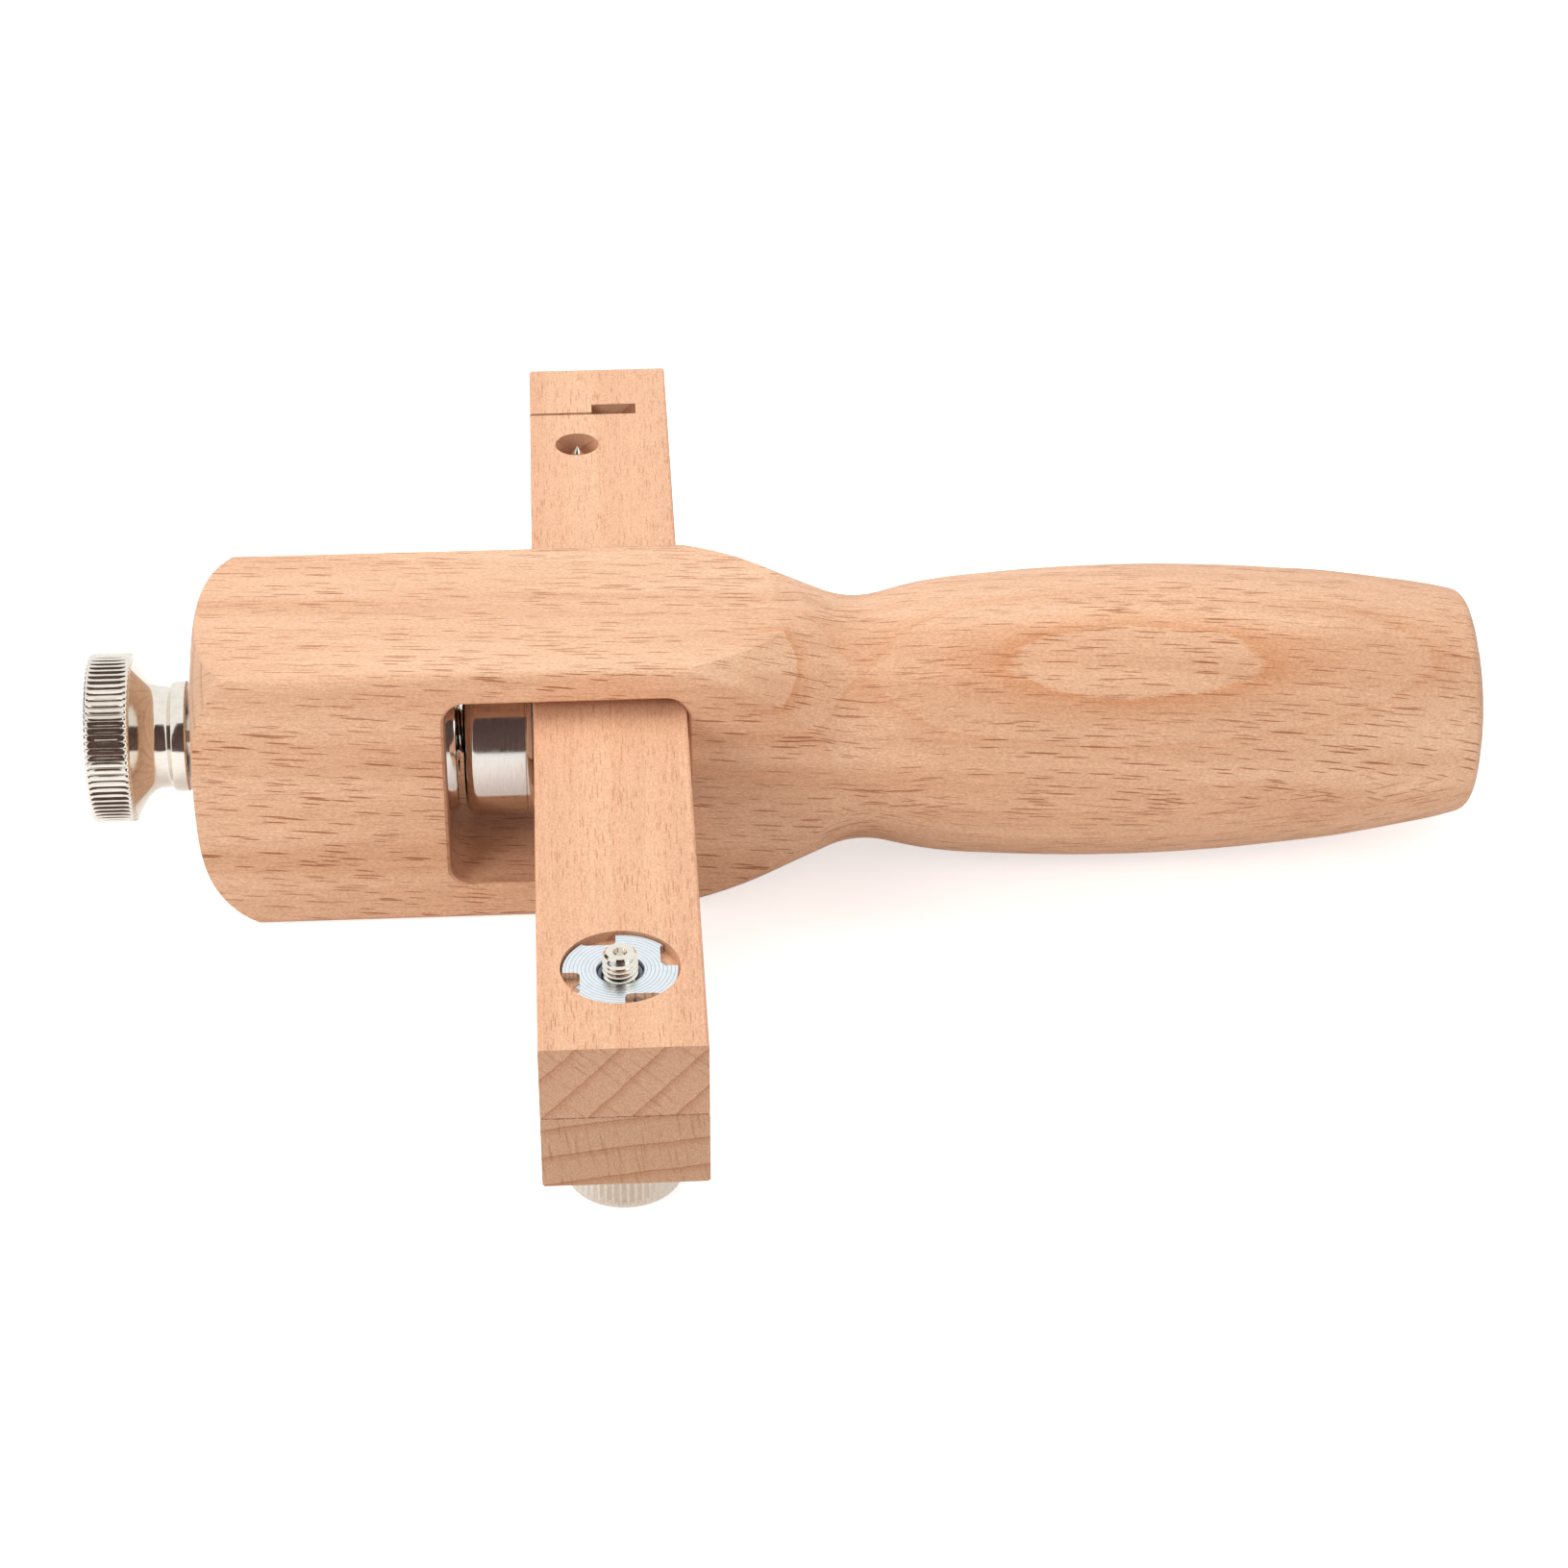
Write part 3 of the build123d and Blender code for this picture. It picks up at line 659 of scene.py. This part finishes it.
def knob_outline(collar, waist, bell, band, edge, dome, cove_length):
    """From the collar's face to the middle of the domed end. The first four are a radius and a length each."""
    (collar_radius, collar_end), (waist_radius, waist_length) = collar, waist
    (bell_radius, bell_length), (band_radius, band_length) = bell, band
    bell_end = collar_end + waist_length + bell_length
    band_end = bell_end + band_length
    face_radius = band_radius - edge
    outline = [(0, 0), (0, collar_radius - 0.3), (0.3, collar_radius), (collar_end - 0.25, collar_radius),
               (collar_end, collar_radius - 0.1)]
    outline += [(collar_end + 0.35, waist_radius + 0.12), (collar_end + 0.8, waist_radius)]
    # the cove: hollow near the waist, steep near the bell
    cove_steps, cove_curve = 16, 2.3
    for i in range(cove_steps + 1):
        part = i / cove_steps
        outline.append((bell_end - cove_length + cove_length * part,
                        waist_radius + (bell_radius - waist_radius) * part ** cove_curve))
    outline += [(bell_end, bell_radius + 0.05), (bell_end + 0.06, face_radius)]
    # the grip, with a round at each rim and a few rings between them for the knurl's ends
    outline += [(bell_end + edge * (1 - math.cos(a)), face_radius + edge * math.sin(a))
                for a in map(math.radians, (22, 45, 67, 90))]
    first_ring, last_ring, rings = bell_end + edge + 0.15, band_end - edge - 0.15, 6
    outline += [(first_ring + (last_ring - first_ring) * i / rings, band_radius) for i in range(rings + 1)]
    outline += [(band_end - edge * (1 - math.sin(a)), face_radius + edge * math.cos(a))
                for a in map(math.radians, (0, 22, 45, 67, 90))]
    # the domed end is part of a ball
    ball, dome_steps = (face_radius ** 2 + dome ** 2) / (2 * dome), 12
    for i in range(1, dome_steps + 1):
        radius = face_radius * (1 - i / dome_steps)
        outline.append((band_end + dome - (ball - math.sqrt(ball ** 2 - radius ** 2)), radius))
    return outline, (bell_end, band_end)


print("outline helpers ready")

# %% [markdown]
# ## Knurling
# A knurling wheel presses straight grooves into the rim, so that fingers can grip it. Cutting 76 grooves with
# a Boolean would be slow and leave long thin faces. Instead the spin has six columns of points to each tooth,
# and the columns between the crests are moved inward. The crests stay flat and wide, and the grooves fade out
# before the rims.

# %% Straight knurl
columns_per_tooth = 6


def press_knurl(bm, axis, grip, radius, teeth, depth, edge):
    """Moves the grooves of a straight knurl inward and gives the number of points that moved."""
    start, direction, outward = axis
    sideways = direction.cross(outward)
    groove_width = 0.66
    grip_start, grip_end = grip
    pressed = 0
    for v in bm.verts:
        offset = v.co - start
        length = offset.dot(direction) / mm
        x, y = offset.dot(outward) / mm, offset.dot(sideways) / mm
        from_axis = math.hypot(x, y)
        if not grip_start + 0.1 < length < grip_end + 0.02 or from_axis < radius - edge - 0.01:
            continue
        column = round(math.atan2(y, x) / (2 * math.pi) * teeth * columns_per_tooth) % columns_per_tooth
        from_groove = abs(column / columns_per_tooth - 0.5) * 2
        groove = max(0.0, 1 - (from_groove / groove_width) ** 2)
        from_rim = min(length - grip_start, grip_end - length)
        fade = min(1.0, max(0.0, from_rim / (edge + 0.35)))
        to_axis = offset - direction * offset.dot(direction)
        v.co -= to_axis * (depth * groove * fade / from_axis)
        pressed += 1
    return pressed


print("knurl helper ready")

# %% [markdown]
# ## Screw threads
# A thread is a ridge that climbs as it turns. The Screw modifier makes one too, but the spin operator does it
# in one call when it is given a step along the axis: a small outline goes round and up, and makes the whole
# helix. The ridge sits on a core that is turned to the bottom of the thread.

# %% A helical ridge
def join(bm, other):
    """Adds the other mesh to bm and frees it."""
    carrier = bpy.data.meshes.new("carrier")
    other.to_mesh(carrier); other.free()
    bm.from_mesh(carrier)
    bpy.data.meshes.remove(carrier)


def add_thread(bm, axis, begin, end, crest, root, pitch, per_turn=32):
    """A closed helical ridge from begin to end (mm along the axis), made apart and then joined to the screw."""
    start, direction, outward = axis
    half, blunt, sunk = pitch * 0.44, 0.05 * pitch, 0.08
    turns = (end - begin - 2 * half) / pitch
    steps = max(8, round(turns * per_turn))
    corners = [(begin, root - sunk), (begin + half - blunt, crest), (begin + half + blunt, crest),
               (begin + 2 * half, root - sunk)]
    ridge = bmesh.new()
    points = [ridge.verts.new(start + direction * length * mm + outward * radius * mm) for length, radius in corners]
    edges = [ridge.edges.new((points[i], points[(i + 1) % 4])) for i in range(4)]
    ridge.faces.new(points)
    swept = bmesh.ops.spin(ridge, geom=points + edges, cent=start, axis=direction, angle=2 * math.pi * turns,
                           dvec=direction * pitch * mm * turns / steps, steps=steps, use_duplicate=False)
    last = [v for v in swept["geom_last"] if isinstance(v, bmesh.types.BMVert)]
    ridge.faces.new(sorted(last, key=lambda v: (v.co - start).dot(direction)))
    bmesh.ops.recalc_face_normals(ridge, faces=ridge.faces)
    join(bm, ridge)
    print("thread of", round(turns, 1), "turns,", steps, "steps")


print("thread helper ready")

# %% [markdown]
# ## Clamp screw
# The user turns this knob to press the foot against the bar. It has a collar that meets the head, a cove
# behind a bell, a knurled grip with rounded rims and a shallow domed face. Its threaded shank runs through
# the bush into the foot. Knob and shank are one outline, because on the real one they are one piece.

# %% Clamp screw
clamp_low, clamp_high = box_of("clamp_screw")
clamp_radius = size_of("clamp_screw")[2] / 2
knob_length = 16.3
collar_x = clamp_low.x + knob_length * mm
collar_face = (collar_x, clamp_line.y, clamp_line.z)
clamp_axis = lathe_axis(collar_face, (-1, 0, 0))
clamp_teeth, clamp_rim, clamp_root = 76, 0.75, 3.38
outline, grip = knob_outline(collar=(8.6, 2.4), waist=(7.95, 3.2), bell=(12.3, 2.6), band=(clamp_radius, 6.9),
                             edge=clamp_rim, dome=1.2, cove_length=4.3)
shank_end = (collar_x - clamp_high.x) / mm
shank = [(shank_end, 0), (shank_end, 2.9), (shank_end + 0.5, clamp_root), (0.0, clamp_root)]
bm = spun(shank + outline[1:], clamp_axis, clamp_teeth * columns_per_tooth)
print("knurl points moved:", press_knurl(bm, clamp_axis, grip, clamp_radius, clamp_teeth, 0.42, clamp_rim))
add_thread(bm, lathe_axis(collar_face, (1, 0, 0)), 0.7, -shank_end - 0.5, crest=3.98, root=clamp_root, pitch=1.25)
finish_piece("clamp_knob", bm, nickel, "clamp_screw", "clamp_screw", sharp_degrees=38)

# %% [markdown]
# ## Clamp bush and foot
# The bush is screwed into the wall of the slot and carries the thread. The foot is a thick nickel puck that
# turns on the end of the screw, with a fine groove near its face. Both are plain turnings, so each is one
# outline and one spin, which is closer to how they were made than a bevelled cylinder.

# %% Bush and foot
bore = 4.05
foot_length, foot_radius = size_of("clamp_foot")[0], size_of("clamp_foot")[2] / 2
foot_axis = lathe_axis((box_of("clamp_foot")[0].x, clamp_line.y, clamp_line.z), (1, 0, 0))
round_radius = 2.0
outline = [(6.0, 0), (6.0, bore), (0, bore), (0, foot_radius - round_radius)]
outline += [(round_radius * (1 - math.cos(a)), foot_radius - round_radius * (1 - math.sin(a)))
            for a in map(math.radians, (15, 30, 45, 60, 75, 90))]
outline += [(foot_length - 1.25, foot_radius), (foot_length - 1.15, foot_radius - 0.12),
            (foot_length - 1.05, foot_radius), (foot_length - 0.5, foot_radius),
            (foot_length - 0.15, foot_radius - 0.15), (foot_length, foot_radius - 0.5), (foot_length, 0)]
finish_piece("clamp_foot_puck", spun(outline, foot_axis, 128), nickel_along, "clamp_foot", "clamp_foot")

bush_length, bush_radius = size_of("clamp_bush")[0], size_of("clamp_bush")[2] / 2
bush_axis = lathe_axis((box_of("clamp_bush")[0].x, clamp_line.y, clamp_line.z), (1, 0, 0))
flange, barrel = bush_length - 1.6, 6.0
outline = [(0, bore), (0, barrel), (flange, barrel), (flange, bush_radius), (bush_length - 0.4, bush_radius),
           (bush_length - 0.12, bush_radius - 0.12), (bush_length, bush_radius - 0.4), (bush_length, 7.2),
           (bush_length - 0.25, 6.9), (bush_length - 0.25, 5.2), (bush_length, 4.9), (bush_length, bore), (0, bore)]
finish_piece("clamp_bush_flange", spun(outline, bush_axis, 96), nickel_along, "stock", "clamp_bush")

# %% [markdown]
# ## Gap screw
# A smaller knob under the bar pulls the two layers together on the leather. Its screw comes up through the
# tee nut, so its end shows on top: a few bright turns of thread, a chamfer and a small socket. The clamp
# screw's helpers serve again with smaller numbers and an axis that points down.

# %% Gap screw
gap_radius = size_of("gap_screw")[0] / 2
collar_z = box_of("gap_washer")[0].z
collar_face = (nut_line.x, nut_line.y, collar_z)
gap_axis = lathe_axis(collar_face, (0, 0, -1))
gap_teeth, gap_rim, gap_root = 49, 0.5, 2.08
outline, grip = knob_outline(collar=(4.9, 3.4), waist=(4.3, 1.6), bell=(7.9, 1.6), band=(gap_radius, 5.2),
                             edge=gap_rim, dome=0.8, cove_length=2.4)
top = (collar_z - box_of("gap_screw")[1].z) / mm
shank = [(top + 0.9, 0), (top + 0.9, 0.7), (top + 0.05, 0.95), (top, 1.02), (top, 1.95), (top + 0.3, 2.25),
         (top + 0.42, 2.25), (top + 0.5, gap_root), (0.0, gap_root)]
bm = spun(shank + outline[1:], gap_axis, gap_teeth * columns_per_tooth)
print("knurl points moved:", press_knurl(bm, gap_axis, grip, gap_radius, gap_teeth, 0.42, gap_rim))
add_thread(bm, lathe_axis(collar_face, (0, 0, 1)), 0.7, -top - 0.3, crest=2.48, root=gap_root, pitch=0.8)
finish_piece("gap_knob", bm, nickel, "gap_screw", "gap_screw", sharp_degrees=38)

# %% [markdown]
# ## Cutting with a Boolean
# The tee nut's notches are cut out of a turned plate. Faces could be deleted and closed again by hand, but
# the notches cross the rings of the plate. A Boolean modifier does the cut: both meshes become objects for a
# moment, the modifier's result is read back, and the two helpers go away.

# %% Boolean cut
def cut_away(bm, cutter):
    """Takes the cutter's shape out of the piece's mesh and gives the mesh that is left."""
    meshes, objects = [], []
    for name, source in (("uncut", bm), ("cutter", cutter)):
        bmesh.ops.recalc_face_normals(source, faces=source.faces)
        meshes.append(bpy.data.meshes.new(name))
        source.to_mesh(meshes[-1]); source.free()
        objects.append(bpy.data.objects.new(name, meshes[-1]))
        scene.collection.objects.link(objects[-1])
    cut = objects[0].modifiers.new("cut", "BOOLEAN")
    cut.operation, cut.solver, cut.object = "DIFFERENCE", "EXACT", objects[1]
    left = bmesh.new()
    left.from_object(objects[0], bpy.context.evaluated_depsgraph_get())
    for helper in objects:
        bpy.data.objects.remove(helper)
    for mesh in meshes:
        bpy.data.meshes.remove(mesh)
    return left


print("Boolean helper ready")

# %% [markdown]
# ## Tee nut
# A tee nut is pressed from sheet: a round plate with a barrel, and four prongs bent down out of its rim,
# which leave four notches that run round it like a pinwheel. The plate and barrel are one spin, the notches
# are four blocks with rounded inner corners, and each prong is a cube that is narrowed to a point.

# %% Tee nut
nut_start = Vector((nut_line.x, nut_line.y, box_of("tee_nut")[0].z))
nut_radius, nut_height = size_of("tee_nut")[0] / 2, size_of("tee_nut")[2]
plate_thickness, prong_reach, nut_bore, barrel = 1.2, 5.0, 2.6, 3.3
under = nut_height - plate_thickness
outline = [(0, nut_bore), (0, barrel), (under, barrel), (under, nut_radius - 0.1), (under + 0.1, nut_radius),
           (nut_height - 0.2, nut_radius), (nut_height - 0.06, nut_radius - 0.06), (nut_height, nut_radius - 0.2),
           (nut_height, 3.5), (nut_height - 0.08, 3.35), (nut_height - 0.6, 3.05), (nut_height - 0.7, nut_bore),
           (0, nut_bore)]
notch_low, notch_high = Vector((5.6, 0.5, 0)) * mm, Vector((9.0, 5.4, 2 * plate_thickness + 0.1)) * mm


def turn_about_z(bm, degrees, verts):
    bmesh.ops.rotate(bm, matrix=Matrix.Rotation(math.radians(degrees), 3, "Z"), verts=verts)


def add_notch(cutter, quarter):
    block = bmesh.ops.create_cube(cutter, size=1.0)["verts"]
    bmesh.ops.scale(cutter, vec=notch_high - notch_low, verts=block)
    inner = [edge for edge in {edge for v in block for edge in v.link_edges}
             if abs(edge.verts[0].co.z - edge.verts[1].co.z) > mm and edge.verts[0].co.x < 0]
    place = ((notch_low + notch_high) / 2).xy.to_3d()
    bmesh.ops.translate(cutter, vec=place + Vector((0, 0, box_of("tee_nut")[1].z)), verts=block)
    rounded = bmesh.ops.bevel(cutter, geom=inner, offset=0.8 * mm, segments=4, profile=0.5, affect="EDGES", material=-1)
    whole = list({v for v in block if v.is_valid} | set(rounded["verts"]))
    turn_about_z(cutter, 90 * quarter, whole)
    bmesh.ops.translate(cutter, vec=(nut_line.x, nut_line.y, 0), verts=whole)


def add_prong(prongs, quarter):
    prong = bmesh.ops.create_cube(prongs, size=1.0)["verts"]
    bmesh.ops.scale(prongs, vec=Vector((2.2, 0.8, prong_reach)) * mm, verts=prong)
    bmesh.ops.scale(prongs, vec=(0.15, 0.6, 1), verts=[v for v in prong if v.co.z < 0])
    turn_about_z(prongs, 20, prong)
    bmesh.ops.translate(prongs, vec=Vector((0, 5.9, under - prong_reach / 2)) * mm, verts=prong)
    turn_about_z(prongs, 90 * quarter + 28, prong)
    bmesh.ops.translate(prongs, vec=nut_start, verts=prong)


cutter, prongs = bmesh.new(), bmesh.new()
for quarter in range(4):
    add_notch(cutter, quarter)
    add_prong(prongs, quarter)
plate = cut_away(spun(outline, lathe_axis(nut_start, (0, 0, 1)), 96), cutter)
join(plate, prongs)
print("tee nut after the notches are cut:", len(plate.faces), "faces")
finish_piece("tee_nut_plate", plate, zinc, "crossbar", "tee_nut", sharp_degrees=28)

# %% [markdown]
# ## Washer, blade and pointed screw
# The washer keeps the lower knob from biting into the wood, and the pointed screw stands in its own small
# hole near the blade: a flat head, a shank and a sharp cone. Both are spun like the rest. The blade is a thin
# strip ground to a bevel. Its solid is already right, so it is copied as the wood was, with every edge kept
# sharp.

# %% Washer, blade and pointed screw
washer_radius, thick = size_of("gap_washer")[0] / 2, size_of("gap_washer")[2]
washer_axis = lathe_axis((nut_line.x, nut_line.y, box_of("gap_washer")[0].z), (0, 0, 1))
outline = [(0, 3.1), (0, washer_radius - 0.2), (0.2, washer_radius), (thick - 0.2, washer_radius),
           (thick, washer_radius - 0.2), (thick, 3.1), (0, 3.1)]
finish_piece("gap_washer_ring", spun(outline, washer_axis, 64), nickel, "lower_bar", "gap_washer")
finish_piece("blade_strip", copy_of("blade"), blade_steel, "crossbar", "blade", sharp_degrees=10)

point_line, point_height = middle("upper_bar_screw"), size_of("upper_bar_screw")[2]
point_axis = lathe_axis((point_line.x, point_line.y, box_of("upper_bar_screw")[0].z), (0, 0, 1))
outline = [(0, 0), (0, 3.1), (0.15, 3.3), (1.55, 1.75), (point_height - 2.6, 1.75), (point_height - 2.4, 1.7),
           (point_height - 0.15, 0.1), (point_height, 0)]
finish_piece("pointed_screw", spun(outline, point_axis, 48), nickel, "crossbar", "upper_bar_screw")
